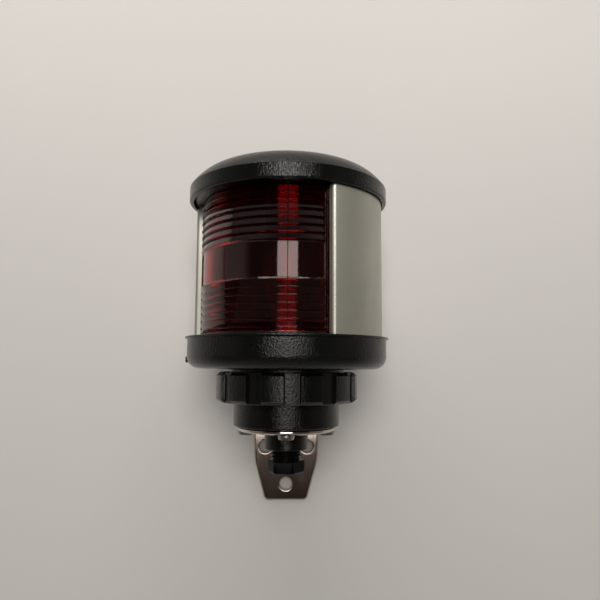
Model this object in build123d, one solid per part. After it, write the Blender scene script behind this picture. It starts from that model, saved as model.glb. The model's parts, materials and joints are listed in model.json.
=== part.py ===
from build123d import *
import math
import os

# A 112.5 degree port side light for a boat, on a wall bracket, in millimetres.
#
# Frame: the origin is the centre of the bracket's three-hole bolt circle, on the wall
# plane.  +Y points into the wall, +Z is up, and dead ahead is -X.  The lantern's own
# vertical axis stands LIGHT_Y in front of the wall.  Azimuths about that axis are in
# degrees, 0 towards -Y (straight out from the wall) and positive towards +X.

# ---------------------------------------------------------------- driving dimensions
LIGHT_Y = -48.0

# wall bracket, bent from stainless sheet
SHEET = 2.0
SHELF_TOP = 21.4
SHELF_R = 20.9
PLATE_HALF_WIDTH = 16.2
PLATE_TAPER_HALF_WIDTH = 15.7
PLATE_TAPER_Z = -0.4
PLATE_TAPER_R = 30.0
PLATE_FOOT_HALF_WIDTH = 10.4
PLATE_FOOT_Z = -19.9
PLATE_FOOT_R = 2.5
BOLT_CIRCLE_R = 12.0
BOLT_HOLE_R = 2.75
BEND_R = 3.0

# mounting base and the four screws that hold it to the bracket
BASE_R = 22.2
BASE_BORE_R = 19.5
BASE_FLOOR = 3.0
COLLAR_R = 25.2
COLLAR_Z = (33.6, 36.0)
BRACKET_SCREW_R = 1.75
BRACKET_SCREW_CIRCLE = 17.1

# cable gland
BOSS_R = 9.0
BOSS_BOTTOM = 11.6
GLAND_BORE_R = 6.65
GLAND_ROOF = 20.4
CABLE_R = 3.6
GLAND_PITCH = 1.5
GLAND_THREAD_R = 6.35
GLAND_ROOT_R = 5.6
GLAND_HEAD_Z = (2.15, 7.1)
GLAND_HEX_AF = 13.8
WASHER_Z = (15.6, 16.4)

# ring nut
RING_Z = (31.3, 43.6)
RING_CORE_R = 28.2
RING_RIB_R = 29.7
RING_BORE_R = 25.75
RING_LIP_R = 22.55
RING_LIP_TOP = 33.3
RING_RIBS = 12
RING_RIB_WIDTH_DEG = 17.0
RING_RIB_AZIMUTH = 19.4
RING_PITCH = 3.0

# lantern base with its threaded neck
FLANGE_R = 42.0
FLANGE_LIP_R = 42.9
FLANGE_Z = (45.0, 58.0)
FLANGE_ROUND = 5.0
PAN_FLOOR = 49.0
NECK_BOTTOM = 37.0
NECK_ROOT_R = 24.4
NECK_THREAD_R = 25.4
NECK_BORE_R = 21.0

# lens
LENS_BORE_R = 33.0
LENS_FOOT_R = 35.5
LENS_BAND_R = 36.0
LENS_CREST_R = 36.9
LENS_Z = (57.0, 118.0)
OPTIC_Z = 86.0
BAND_HALF_HEIGHT = 7.5
STEP_HEIGHT = 3.0
OPTIC_BOTTOM = 59.2
OPTIC_TOP = 114.5
SECTOR = 112.5
SECTOR_START = -89.5
END_GROOVE_DEG = 0.95
END_RIB_DEG = 2.6
GROOVE_CLEARANCE = 0.3
SEAL_THICK = 1.0

# shroud
SHROUD_R = 40.4
SHROUD_THICK = 0.7
SHROUD_OPENING = 118.5
SHROUD_OPENING_CENTRE = -34.5
SHROUD_RETURN = 3.0
SHROUD_TOP = 117.0

# top cap
CAP_R = 42.5
CAP_Z = (115.0, 121.0)
CAP_RISE = 10.0
CAP_WALL = 3.0

# posts and screws that hold the cap, in the dark sector behind the lamp
DARK_CENTRE = 146.25
POST_SPREAD = 48.0
POST_CIRCLE = 28.0
POST_R = 3.4
POST_TOP = 113.0
CAP_SCREW_R = 1.75
CAP_SCREW_HEAD_R = 3.4

# lamp and its holder
LAMP_PIN_Z = 54.2
LAMP_CAP_R = 7.5
LAMP_CAP_BOTTOM = 47.6
LAMP_GLASS_R = 12.5
LAMP_TOP = 101.0
HOLDER_R = 8.5
HOLDER_BORE_R = 7.8
HOLDER_Z = (41.5, 58.5)
PEDESTAL_R = 11.0
PEDESTAL_BOTTOM = 40.0
TWIST_DEG = 20.0
PIN_R = 1.0
PIN_SLOT = 2.8
PLUNGER_Z = (45.9, 47.3)
SPRING_WIRE_R = 0.35
SPRING_R = 4.2
SPRING_TURNS = 4

# plug-in contacts between the lantern and its mounting base
CONTACT_CIRCLE = 14.2
CONTACT_AZIMUTHS = (45.0, 225.0)
CONTACT_R = 1.5
CONTACT_TIP = 27.5
PLATE_THICK = 2.0
SOCKET_PLATE_Z = 30.5


# ------------------------------------------------------------------- small helpers
def spun(edges, arc=360.0):
    """Solid of revolution about Z from edges drawn as (radius, height)."""
    return revolve(Plane.XZ * make_face(Wire(edges)), Axis.Z, arc)


def turned(points, azimuth=0.0, arc=360.0):
    """Solid of revolution about Z from (radius, height) corners, from an azimuth on."""
    solid = spun(Polyline(*points, close=True).edges(), arc)
    return Rot(0, 0, azimuth - 90.0) * solid


def ring(outer, inner, low, high):
    """Plain ring, or a disc when inner is 0."""
    corners = [(inner, low), (outer, low), (outer, high), (inner, high)]
    return turned(corners)


def around(azimuth, radius, height=0.0):
    """Location at an azimuth and radius from the lantern's axis."""
    return Rot(0, 0, azimuth) * Pos(0, -radius, height)


def post(radius, low, high):
    """Upright cylinder between two heights."""
    return Pos(0, 0, low) * Cylinder(radius, high - low, align=(Align.CENTER, Align.CENTER, Align.MIN))


def thread_corners(root_r, crest_r, pitch, low, turns):
    """Corners, going up, of thread ridges drawn as separate rings at the pitch."""
    corners = []
    for index in range(turns):
        start = low + index * pitch
        corners += [
            (root_r, start + 0.12 * pitch), (crest_r, start + 0.4 * pitch),
            (crest_r, start + 0.6 * pitch), (root_r, start + 0.88 * pitch),
        ]
    return corners


def post_azimuths():
    """Azimuths of the three cap posts."""
    return [DARK_CENTRE + step * POST_SPREAD for step in (-1, 0, 1)]


# ----------------------------------------------------------------- mount side pieces
def bracket():
    """Shelf and wall plate bent from one sheet, with rounded outline."""
    front = LIGHT_Y - SHELF_R
    shelf_under = SHELF_TOP - SHEET
    outer = FilletPolyline((front, SHELF_TOP), (0, SHELF_TOP), (0, PLATE_FOOT_Z), radius=BEND_R)
    inner = FilletPolyline(
        (-SHEET, PLATE_FOOT_Z), (-SHEET, shelf_under), (front, shelf_under), radius=BEND_R - SHEET
    )
    ends = [
        Line((0, PLATE_FOOT_Z), (-SHEET, PLATE_FOOT_Z)),
        Line((front, shelf_under), (front, SHELF_TOP)),
    ]
    profile = make_face(Wire(outer.edges() + inner.edges() + ends))
    sheet = extrude(Plane.YZ * profile, SHELF_R, both=True)

    tall = 100.0
    shelf_outline = Pos(0, LIGHT_Y) * Circle(SHELF_R)
    shelf_outline += Pos(0, LIGHT_Y / 2) * Rectangle(2 * PLATE_HALF_WIDTH, -LIGHT_Y)
    sheet = sheet & extrude(shelf_outline, tall, both=True)

    bend_z = SHELF_TOP - BEND_R
    plate_outline = Polygon(
        (-SHELF_R, tall), (-SHELF_R, bend_z), (-PLATE_HALF_WIDTH, bend_z),
        (-PLATE_TAPER_HALF_WIDTH, PLATE_TAPER_Z), (-PLATE_FOOT_HALF_WIDTH, PLATE_FOOT_Z),
        (PLATE_FOOT_HALF_WIDTH, PLATE_FOOT_Z), (PLATE_TAPER_HALF_WIDTH, PLATE_TAPER_Z),
        (PLATE_HALF_WIDTH, bend_z), (SHELF_R, bend_z), (SHELF_R, tall),
        align=None,
    )
    taper_corners = plate_outline.vertices().group_by(Axis.Y)[1]
    plate_outline = fillet(taper_corners, PLATE_TAPER_R)
    foot_corners = plate_outline.vertices().group_by(Axis.Y)[0]
    plate_outline = fillet(foot_corners, PLATE_FOOT_R)
    sheet = sheet & extrude(Plane.XZ * plate_outline, tall, both=True)

    for azimuth in (30, 150, 270):
        angle = math.radians(azimuth)
        x = BOLT_CIRCLE_R * math.cos(angle)
        z = BOLT_CIRCLE_R * math.sin(angle)
        sheet -= Pos(x, 0, z) * Rot(90, 0, 0) * Cylinder(BOLT_HOLE_R, 3 * SHEET)

    holes = post(BOSS_R + 0.2, 0, tall)
    for azimuth in (0, 90, 180, 270):
        holes += around(azimuth, BRACKET_SCREW_CIRCLE) * post(BRACKET_SCREW_R + 0.15, 0, tall)
    return sheet - Pos(0, LIGHT_Y, 0) * holes


def mounting_base():
    """Cup that stands on the shelf, with the ring nut's collar and the gland boss."""
    low, high = COLLAR_Z
    floor_top = SHELF_TOP + BASE_FLOOR
    body = turned([
        (CABLE_R, GLAND_ROOF), (GLAND_BORE_R, GLAND_ROOF), (GLAND_BORE_R, BOSS_BOTTOM),
        (BOSS_R - 0.5, BOSS_BOTTOM), (BOSS_R, BOSS_BOTTOM + 0.5), (BOSS_R, SHELF_TOP),
        (BASE_R - 0.6, SHELF_TOP), (BASE_R, SHELF_TOP + 0.6), (BASE_R, low),
        (COLLAR_R, low), (COLLAR_R, high), (BASE_BORE_R, high),
        (BASE_BORE_R, floor_top), (CABLE_R, floor_top),
    ])
    for azimuth in (0, 90, 180, 270):
        place = around(azimuth, BRACKET_SCREW_CIRCLE)
        body += place * post(3.4, floor_top - 0.5, SOCKET_PLATE_Z)
    for azimuth in (0, 90, 180, 270):
        place = around(azimuth, BRACKET_SCREW_CIRCLE)
        body -= place * post(BRACKET_SCREW_R, SHELF_TOP - 1, SOCKET_PLATE_Z - 1.5)
    return body


def pan_screw(shank_r, head_r, head_height, head_z, tip_z):
    """Screw that points up: domed head below, shank above, crosspoint recess."""
    rim = 0.35 * head_height
    head = turned([
        (0, head_z - head_height), (0.55 * head_r, head_z - head_height),
        (0.9 * head_r, head_z - head_height + 0.5 * rim), (head_r, head_z - rim), (head_r, head_z),
        (shank_r, head_z), (shank_r, tip_z - shank_r), (0.3, tip_z), (0, tip_z),
    ])
    blade = Box(1.3 * head_r, 0.22 * head_r, head_height)
    cross = blade + Rot(0, 0, 90) * blade
    return head - Pos(0, 0, head_z - head_height) * cross


def bracket_screws():
    """Four pan-head screws up through the shelf into the mounting base."""
    screw = pan_screw(BRACKET_SCREW_R, 3.3, 2.2, SHELF_TOP - SHEET, SOCKET_PLATE_Z - 2.0)
    return [around(azimuth, BRACKET_SCREW_CIRCLE) * screw for azimuth in (0, 90, 180, 270)]


def base_seal():
    """Flat rubber ring that the lantern's neck is drawn down on to."""
    return ring(NECK_ROOT_R - 0.4, NECK_BORE_R, COLLAR_Z[1], NECK_BOTTOM)


def socket_plate():
    """Insulating disc across the cup that carries the two sockets."""
    disc = ring(BASE_BORE_R - 0.1, 0, SOCKET_PLATE_Z, SOCKET_PLATE_Z + PLATE_THICK)
    for azimuth in CONTACT_AZIMUTHS:
        disc -= around(azimuth, CONTACT_CIRCLE) * post(2.6, 0, 60)
    return disc


def socket_contacts():
    """Two brass tubes that take the lantern's contact pins."""
    tube = ring(2.6, CONTACT_R + 0.3, 26.5, 34.5)
    return [around(azimuth, CONTACT_CIRCLE) * tube for azimuth in CONTACT_AZIMUTHS]


def gland_seal():
    """Rubber sleeve that the gland screw squeezes round the cable."""
    return ring(GLAND_BORE_R - 0.15, CABLE_R + 0.1, WASHER_Z[1], GLAND_ROOF)


def gland_washer():
    """Slip washer between the gland screw and the seal."""
    return ring(GLAND_BORE_R - 0.35, CABLE_R + 0.3, *WASHER_Z)


def gland_screw():
    """Hollow hexagon-head screw that closes the gland."""
    low, high = GLAND_HEAD_Z
    hexagon = RegularPolygon(GLAND_HEX_AF / 2, 6, major_radius=False)
    hexagon = fillet(hexagon.vertices(), 0.8)
    head = Pos(0, 0, low) * extrude(Rot(0, 0, 22.0) * hexagon, high - low)
    head = head & turned([
        (0, low), (GLAND_HEX_AF / 2 - 0.2, low), (GLAND_HEX_AF / 2 + 1.0, low + 0.7),
        (GLAND_HEX_AF / 2 + 1.0, high - 0.5), (GLAND_HEX_AF / 2 + 0.4, high), (0, high),
    ])
    top = WASHER_Z[0]
    turns = int((top - high) / GLAND_PITCH)
    thread = thread_corners(GLAND_ROOT_R, GLAND_THREAD_R, GLAND_PITCH, high + 0.3, turns)
    shank = turned([
        (0, high - 1), (GLAND_ROOT_R, high - 1), *thread, (GLAND_ROOT_R, top - 0.4),
        (GLAND_ROOT_R - 0.4, top), (0, top),
    ])
    return head + shank - post(CABLE_R, 0, 30)


def ring_nut():
    """Captive ring nut with broad grip ribs and a lip under the base's collar."""
    low, high = RING_Z
    soft = 0.5
    body = turned([
        (RING_LIP_R, low + soft), (RING_LIP_R + soft, low), (RING_CORE_R - soft, low),
        (RING_CORE_R, low + soft), (RING_CORE_R, high - soft), (RING_CORE_R - soft, high),
        (RING_BORE_R + soft, high), (RING_BORE_R, high - soft), (RING_BORE_R, RING_LIP_TOP),
        (RING_LIP_R, RING_LIP_TOP),
    ])
    bevel = 1.3
    inner = RING_CORE_R - 1.0
    rib = turned(
        [
            (inner, low), (RING_CORE_R, low), (RING_RIB_R, low + bevel),
            (RING_RIB_R, high - bevel), (RING_CORE_R, high), (inner, high),
        ],
        -RING_RIB_WIDTH_DEG / 2,
        RING_RIB_WIDTH_DEG,
    )
    for index in range(RING_RIBS):
        body += Rot(0, 0, RING_RIB_AZIMUTH + index * 360.0 / RING_RIBS) * rib
    return body


# --------------------------------------------------------------- lantern side pieces
def lantern_base():
    """Round tray with the lens groove, a hole for the lamp pedestal and a threaded neck."""
    low, high = FLANGE_Z
    lip = 0.6
    groove_in = LENS_BORE_R - GROOVE_CLEARANCE
    groove_out = LENS_FOOT_R + GROOVE_CLEARANCE
    groove_floor = LENS_Z[0] - SEAL_THICK
    neck_thread = thread_corners(NECK_ROOT_R, NECK_THREAD_R, RING_PITCH, NECK_BOTTOM + 0.6, 2)
    rounding = RadiusArc(
        (FLANGE_R - FLANGE_ROUND, low), (FLANGE_R, low + FLANGE_ROUND), -FLANGE_ROUND
    )
    rest = Polyline(
        (FLANGE_R, low + FLANGE_ROUND), (FLANGE_R, high - 2 * lip), (FLANGE_LIP_R, high - lip),
        (FLANGE_LIP_R, high), (groove_out + 1.3, high), (groove_out + 1.0, high + 1),
        (groove_out, high + 1), (groove_out, groove_floor), (groove_in, groove_floor),
        (groove_in, high), (groove_in - 1.2, high), (groove_in - 1.2, PAN_FLOOR), (0, PAN_FLOOR),
        (0, low + 2), (NECK_BORE_R, low + 2), (NECK_BORE_R, NECK_BOTTOM), (NECK_ROOT_R, NECK_BOTTOM),
        *neck_thread, (NECK_ROOT_R, low), (FLANGE_R - FLANGE_ROUND, low),
    )
    body = spun([rounding] + rest.edges())
    body -= post(PEDESTAL_R, low, high)
    pip = Pos(-FLANGE_R + 1.0, 0, low + 3.6) * Rot(0, 90, 0) * Cylinder(1.3, 3.8)
    return body + pip


def lamp_pedestal():
    """Socket, closed below, that carries the lamp holder through the tray's floor."""
    high = FLANGE_Z[1]
    flange = ring(PEDESTAL_R + 2.5, 0, PAN_FLOOR, PAN_FLOOR + 1.5)
    body = post(PEDESTAL_R, PEDESTAL_BOTTOM, high) + flange
    return body - post(HOLDER_R, HOLDER_Z[0], high + 1)


def cap_posts():
    """Three tapped brass posts on the tray's floor that the cap screws go into."""
    column = post(POST_R, PAN_FLOOR, POST_TOP) - post(CAP_SCREW_R, POST_TOP - 12, POST_TOP + 1)
    return [around(azimuth, POST_CIRCLE) * column for azimuth in post_azimuths()]


def contact_plate():
    """Insulating disc inside the neck that carries the contact pins."""
    disc = ring(NECK_BORE_R, 0, NECK_BOTTOM + 0.6, NECK_BOTTOM + 0.6 + PLATE_THICK)
    for azimuth in CONTACT_AZIMUTHS:
        disc -= around(azimuth, CONTACT_CIRCLE) * post(CONTACT_R, 0, 60)
    return disc


def contact_pins():
    """Two brass pins that plug down into the base's sockets."""
    top = NECK_BOTTOM + 0.6 + PLATE_THICK
    pin = turned([
        (0, CONTACT_TIP), (CONTACT_R - 0.6, CONTACT_TIP), (CONTACT_R, CONTACT_TIP + 0.8),
        (CONTACT_R, top), (CONTACT_R + 0.9, top), (CONTACT_R + 0.9, top + 0.8), (0, top + 0.8),
    ])
    return [around(azimuth, CONTACT_CIRCLE) * pin for azimuth in CONTACT_AZIMUTHS]


def step_corners(proud, reach):
    """Corners of the steps, as radius and distance from the optic's middle."""
    crest = LENS_CREST_R + proud
    fall = LENS_CREST_R - LENS_BAND_R + 0.1
    corners = []
    height = BAND_HALF_HEIGHT
    while height < reach:
        after = min(height + STEP_HEIGHT, reach)
        corners += [(crest, height), (crest - fall * (after - height) / STEP_HEIGHT, after)]
        height = after
    return corners


def lens_outline(proud=0.0):
    """Corners of the stepped optic: a smooth band with steps above and below it."""
    core = LENS_FOOT_R - 1.0
    band = LENS_BAND_R + proud
    above = step_corners(proud, OPTIC_TOP - OPTIC_Z)
    below = step_corners(proud, OPTIC_Z - OPTIC_BOTTOM)
    lower = [(radius, OPTIC_Z - height) for radius, height in reversed(below)]
    middle = [(band, OPTIC_Z - BAND_HALF_HEIGHT), (band, OPTIC_Z + BAND_HALF_HEIGHT)]
    upper = [(radius, OPTIC_Z + height) for radius, height in above]
    return [(core, OPTIC_BOTTOM)] + lower + middle + upper + [(core, OPTIC_TOP)]


def lens():
    """Red lens: plain cylinder with a stepped optic over the lit sector."""
    body = ring(LENS_FOOT_R, LENS_BORE_R, *LENS_Z)
    body += turned(lens_outline(), SECTOR_START, SECTOR)
    core = LENS_FOOT_R - 1.0
    end_rib = [
        (core, OPTIC_BOTTOM), (LENS_CREST_R, OPTIC_BOTTOM),
        (LENS_CREST_R, OPTIC_TOP), (core, OPTIC_TOP),
    ]
    body += turned(end_rib, SECTOR_START - END_GROOVE_DEG - END_RIB_DEG, END_RIB_DEG)
    body += turned(end_rib, SECTOR_START + SECTOR + END_GROOVE_DEG, END_RIB_DEG)
    seam = turned(lens_outline(0.12), -0.2, 0.4)
    return body + seam


def lens_seal(low):
    """Flat rubber ring in a lens groove."""
    return ring(LENS_FOOT_R, LENS_BORE_R, low, low + SEAL_THICK)


def shroud():
    """Rolled stainless screen with an inward return along each edge of the opening."""
    start = SHROUD_OPENING_CENTRE + SHROUD_OPENING / 2
    arc = 360.0 - SHROUD_OPENING
    inner = SHROUD_R - SHROUD_THICK
    low = FLANGE_Z[1]
    body = turned(
        [(inner, low), (SHROUD_R, low), (SHROUD_R, SHROUD_TOP), (inner, SHROUD_TOP)], start, arc
    )
    height = CAP_Z[0] - low
    strip = Box(
        SHROUD_THICK, SHROUD_RETURN, height - 0.2, align=(Align.MIN, Align.MIN, Align.MIN)
    )
    place_first = Rot(0, 0, start) * Pos(0, -SHROUD_R + 0.05, low + 0.1)
    place_last = Rot(0, 0, start + arc) * Pos(-SHROUD_THICK, -SHROUD_R + 0.05, low + 0.1)
    return body + place_first * strip + place_last * strip


def top_cap():
    """Domed cap with a rim, a slot for the shroud, a lens groove and three screw wells."""
    low, rim_top = CAP_Z
    slot_in = SHROUD_R - SHROUD_THICK - 0.2
    slot_out = SHROUD_R + 0.2
    groove_in = LENS_BORE_R - GROOVE_CLEARANCE
    groove_out = LENS_FOOT_R + GROOVE_CLEARANCE
    under = low + 0.4
    roof = LENS_Z[1] + SEAL_THICK

    def dome(radius):
        return rim_top + CAP_RISE * (1 - (radius / CAP_R) ** 6)

    crown_stations = [CAP_R * share for share in (1.0, 0.94, 0.85, 0.72, 0.5, 0.25, 0.0)]
    crown = Spline(
        *[(radius, dome(radius)) for radius in crown_stations],
        tangents=[(-1, 6 * CAP_RISE / CAP_R), (-1, 0)],
    )
    inside_r = groove_in - 1.2
    ceiling = dome(0) - CAP_WALL
    rest = Polyline(
        (0, rim_top + CAP_RISE), (0, ceiling), (inside_r - 6, ceiling - 0.6),
        (inside_r, dome(inside_r) - CAP_WALL - 1.5), (inside_r, under), (groove_in, under),
        (groove_in, roof), (groove_out, roof), (groove_out, under), (slot_in, under),
        (slot_in, SHROUD_TOP + 0.2), (slot_out, SHROUD_TOP + 0.2), (slot_out, low + 0.3),
        (slot_out + 0.3, low), (CAP_R - 0.7, low), (CAP_R, low + 0.7), (CAP_R, rim_top),
    )
    body = spun(crown.edges() + rest.edges())
    for azimuth in post_azimuths():
        place = around(azimuth, POST_CIRCLE)
        body += place * post(4.2, POST_TOP, rim_top + 6)
    for azimuth in post_azimuths():
        place = around(azimuth, POST_CIRCLE)
        body -= place * post(CAP_SCREW_R + 0.2, POST_TOP - 1, rim_top + CAP_RISE)
        body -= place * post(CAP_SCREW_HEAD_R + 0.5, rim_top + 4.0, rim_top + CAP_RISE + 1)
    return body


def cap_screw_seat():
    """Height of the floor of the cap's screw wells."""
    return CAP_Z[1] + 4.0


def screw_seals():
    """O-rings under the cap screws, drawn as flat rings."""
    seat = cap_screw_seat()
    seal = ring(CAP_SCREW_HEAD_R - 0.2, CAP_SCREW_R, seat, seat + 0.8)
    return [around(azimuth, POST_CIRCLE) * seal for azimuth in post_azimuths()]


def cap_screws():
    """Three screws down through the cap into the posts."""
    seat = cap_screw_seat() + 0.8
    length = seat - POST_TOP + 10.0
    screw = pan_screw(CAP_SCREW_R, CAP_SCREW_HEAD_R, 2.2, 0, length)
    screw = Pos(0, 0, seat) * Rot(180, 0, 0) * screw
    return [around(azimuth, POST_CIRCLE) * screw for azimuth in post_azimuths()]


def light_screen():
    """Matt black curved screen behind the lamp, across the dark sector."""
    inner, outer = 22.6, 23.6
    corners = [(inner, PAN_FLOOR), (outer, PAN_FLOOR), (outer, POST_TOP), (inner, POST_TOP)]
    return turned(corners, DARK_CENTRE - 62, 124)


# ---------------------------------------------------------------------- lamp pieces
def lamp_holder():
    """Brass bayonet shell with two L-shaped pin slots."""
    low, high = HOLDER_Z
    shell = ring(HOLDER_R, HOLDER_BORE_R, low, high)
    entry = Pos(0, -HOLDER_R, 0) * Box(PIN_SLOT, 4, 2 * (high - LAMP_PIN_Z) + PIN_SLOT)
    entry = Pos(0, 0, high) * entry
    slot_low = LAMP_PIN_Z - PIN_SLOT / 2
    slot_high = LAMP_PIN_Z + PIN_SLOT / 2
    margin = math.degrees(PIN_SLOT / 2 / HOLDER_R)
    lane = turned(
        [(5, slot_low), (11, slot_low), (11, slot_high), (5, slot_high)],
        -margin,
        TWIST_DEG + 2 * margin,
    )
    for azimuth in (0, 180):
        shell -= Rot(0, 0, azimuth) * lane
        shell -= Rot(0, 0, azimuth + TWIST_DEG) * entry
    return shell


def holder_insulator():
    """Phenolic floor of the lamp holder."""
    return ring(HOLDER_BORE_R, 0, HOLDER_Z[0], HOLDER_Z[0] + 1.0)


def contact_plunger():
    """Sprung disc that presses on the lamp's two contacts."""
    low, high = PLUNGER_Z
    disc = ring(HOLDER_BORE_R - 0.4, 0, low, high)
    for side in (-1, 1):
        disc += Pos(side * 3.0, 0, 0) * post(1.1, high - 0.2, LAMP_CAP_BOTTOM - 0.3)
    return disc


def contact_spring():
    """Coil spring under the plunger."""
    low = HOLDER_Z[0] + 1.0 + SPRING_WIRE_R
    high = PLUNGER_Z[0] - SPRING_WIRE_R
    pitch = (high - low) / SPRING_TURNS
    helix = Helix(pitch=pitch, height=high - low, radius=SPRING_R)
    section = Plane(origin=helix @ 0, z_dir=helix % 0) * Circle(SPRING_WIRE_R)
    return Pos(0, 0, low) * sweep(section, path=helix, is_frenet=True)


def lamp_cap():
    """Brass cap of the lamp with its two bayonet pins."""
    cap = turned([
        (0, LAMP_CAP_BOTTOM), (LAMP_CAP_R - 0.8, LAMP_CAP_BOTTOM),
        (LAMP_CAP_R, LAMP_CAP_BOTTOM + 0.8), (LAMP_CAP_R, 63.0), (LAMP_CAP_R - 1.0, 64.0),
        (LAMP_CAP_R - 1.0, 60.0), (0, 60.0),
    ])
    pin = Pos(0, 0, LAMP_PIN_Z) * Rot(90, 0, 0) * Cylinder(PIN_R, 2 * (HOLDER_R - 0.1))
    return cap + pin


def lamp_contacts():
    """Two solder pads under the lamp cap."""
    pad = post(1.2, LAMP_CAP_BOTTOM - 0.3, LAMP_CAP_BOTTOM)
    return [Pos(side * 3.0, 0, 0) * pad for side in (-1, 1)]


def lamp_glass():
    """Hollow glass envelope, a round bulb drawn in to a neck in the cap."""
    neck = LAMP_CAP_R - 1.0
    wall = 0.7
    centre = LAMP_TOP - LAMP_GLASS_R

    def skin(inset):
        radius = LAMP_GLASS_R - inset
        crown = RadiusArc((0, centre + radius), (radius, centre), radius)
        shoulder = Spline((radius, centre), (neck - inset, 65.0), tangents=[(0, -1), (0, -1)])
        throat = Line((neck - inset, 65.0), (neck - inset, 60.2))
        return [crown, shoulder, throat]

    outer = skin(0)
    inner = skin(wall)
    joins = [
        Line((0, LAMP_TOP), (0, LAMP_TOP - wall)),
        Line((neck, 60.2), (neck - wall, 60.2)),
    ]
    return spun(outer + inner + joins)


def lamp_filament():
    """Coiled filament across the lamp on the optic's centre plane, as a thin rod."""
    return Pos(0, 0, OPTIC_Z) * Rot(0, 90, 0) * Cylinder(0.6, 7.0)


def filament_supports():
    """Glass stem with the two wires that carry the filament."""
    stem = turned([(0, 60.0), (4.0, 60.0), (4.0, 62.0), (1.8, 66.0), (1.8, 74.0), (0, 75.0)])
    for side in (-1, 1):
        start = (side * 1.2, 0, 72.0)
        end = (side * 3.2, 0, OPTIC_Z - 0.6)
        path = Line(start, end)
        stem += sweep(Plane(origin=start, z_dir=path % 0) * Circle(0.35), path=path)
    return stem


def contact_strips():
    """Two brass strips from the contact pins' heads to the lamp holder's pedestal."""
    top = NECK_BOTTOM + 0.6 + PLATE_THICK
    foot = Pos(0, 0, top + 0.8) * Box(4.0, 4.0, 0.5, align=(Align.CENTER, Align.CENTER, Align.MIN))
    rise = FLANGE_Z[0] + 2 - top - 0.8
    riser = Pos(0, 1.5, top + 0.8) * Box(4.0, 0.5, rise, align=(Align.CENTER, Align.MIN, Align.MIN))
    return [around(azimuth, CONTACT_CIRCLE) * (foot + riser) for azimuth in CONTACT_AZIMUTHS]


# --------------------------------------------------------------------------- output
LIGHT_AXIS = Pos(0, LIGHT_Y, 0)

PIECES = {
    "mounting_base": mounting_base,
    "bracket_screws": bracket_screws,
    "base_seal": base_seal,
    "socket_plate": socket_plate,
    "socket_contacts": socket_contacts,
    "gland_seal": gland_seal,
    "gland_washer": gland_washer,
    "gland_screw": gland_screw,
    "ring_nut": ring_nut,
    "lantern_base": lantern_base,
    "lamp_pedestal": lamp_pedestal,
    "cap_posts": cap_posts,
    "contact_plate": contact_plate,
    "contact_pins": contact_pins,
    "contact_strips": contact_strips,
    "lens": lens,
    "shroud": shroud,
    "top_cap": top_cap,
    "screw_seals": screw_seals,
    "cap_screws": cap_screws,
    "light_screen": light_screen,
    "lamp_holder": lamp_holder,
    "holder_insulator": holder_insulator,
    "contact_plunger": contact_plunger,
    "contact_spring": contact_spring,
    "lamp_cap": lamp_cap,
    "lamp_contacts": lamp_contacts,
    "lamp_glass": lamp_glass,
    "lamp_filament": lamp_filament,
    "filament_supports": filament_supports,
}


def write(node, shape):
    """Write one node, a single solid or a group of separate solids."""
    if isinstance(shape, list):
        shape = Compound(children=[Compound(piece.wrapped) for piece in shape])
    export_step(shape, f"parts/{node}.step")


os.makedirs("parts", exist_ok=True)
write("bracket", bracket())
write("lower_lens_seal", LIGHT_AXIS * lens_seal(LENS_Z[0] - SEAL_THICK))
write("upper_lens_seal", LIGHT_AXIS * lens_seal(LENS_Z[1]))
for name, make in PIECES.items():
    made = make()
    if isinstance(made, list):
        write(name, [LIGHT_AXIS * piece for piece in made])
    else:
        write(name, LIGHT_AXIS * made)
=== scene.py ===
import json
import math

import bmesh
import bpy
from mathutils import Matrix, Quaternion, Vector


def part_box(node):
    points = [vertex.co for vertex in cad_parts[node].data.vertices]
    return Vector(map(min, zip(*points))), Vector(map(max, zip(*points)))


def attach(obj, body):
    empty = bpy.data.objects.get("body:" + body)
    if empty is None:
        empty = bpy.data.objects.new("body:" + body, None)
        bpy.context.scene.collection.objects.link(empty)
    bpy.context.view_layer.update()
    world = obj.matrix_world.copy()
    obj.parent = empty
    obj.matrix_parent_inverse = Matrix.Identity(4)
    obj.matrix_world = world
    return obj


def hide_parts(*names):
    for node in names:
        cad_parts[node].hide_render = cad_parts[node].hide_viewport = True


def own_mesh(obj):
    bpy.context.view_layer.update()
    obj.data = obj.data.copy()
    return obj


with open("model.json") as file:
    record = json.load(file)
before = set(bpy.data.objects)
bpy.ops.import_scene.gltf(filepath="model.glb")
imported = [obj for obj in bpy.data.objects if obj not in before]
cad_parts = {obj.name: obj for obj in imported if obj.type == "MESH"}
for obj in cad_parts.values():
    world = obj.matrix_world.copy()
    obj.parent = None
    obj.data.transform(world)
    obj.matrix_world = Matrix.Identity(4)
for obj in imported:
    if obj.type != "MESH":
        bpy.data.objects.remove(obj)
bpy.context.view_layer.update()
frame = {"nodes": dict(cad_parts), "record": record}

MM = 0.001

# ------------------------------------------------------------- sizes from the frame, mm
def node_box(node):
    """Lowest and highest corners of a CAD node, in millimetres."""
    low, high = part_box(node)
    return low / MM, high / MM


CAP_LOW, CAP_HIGH = node_box("top_cap")
TRAY_LOW = node_box("lantern_base")[0]
RING_LOW, RING_HIGH = node_box("ring_nut")
CUP_LOW, CUP_HIGH = node_box("mounting_base")
GLAND_LOW, GLAND_HIGH = node_box("gland_screw")
LENS_LOW, LENS_HIGH = node_box("lens")
SHROUD_LOW, SHROUD_HIGH = node_box("shroud")
BRACKET_LOW, BRACKET_HIGH = node_box("bracket")

AXIS_X = (CAP_LOW.x + CAP_HIGH.x) / 2
AXIS_Y = (CAP_LOW.y + CAP_HIGH.y) / 2
CAP_R = (CAP_HIGH.x - CAP_LOW.x) / 2

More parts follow.
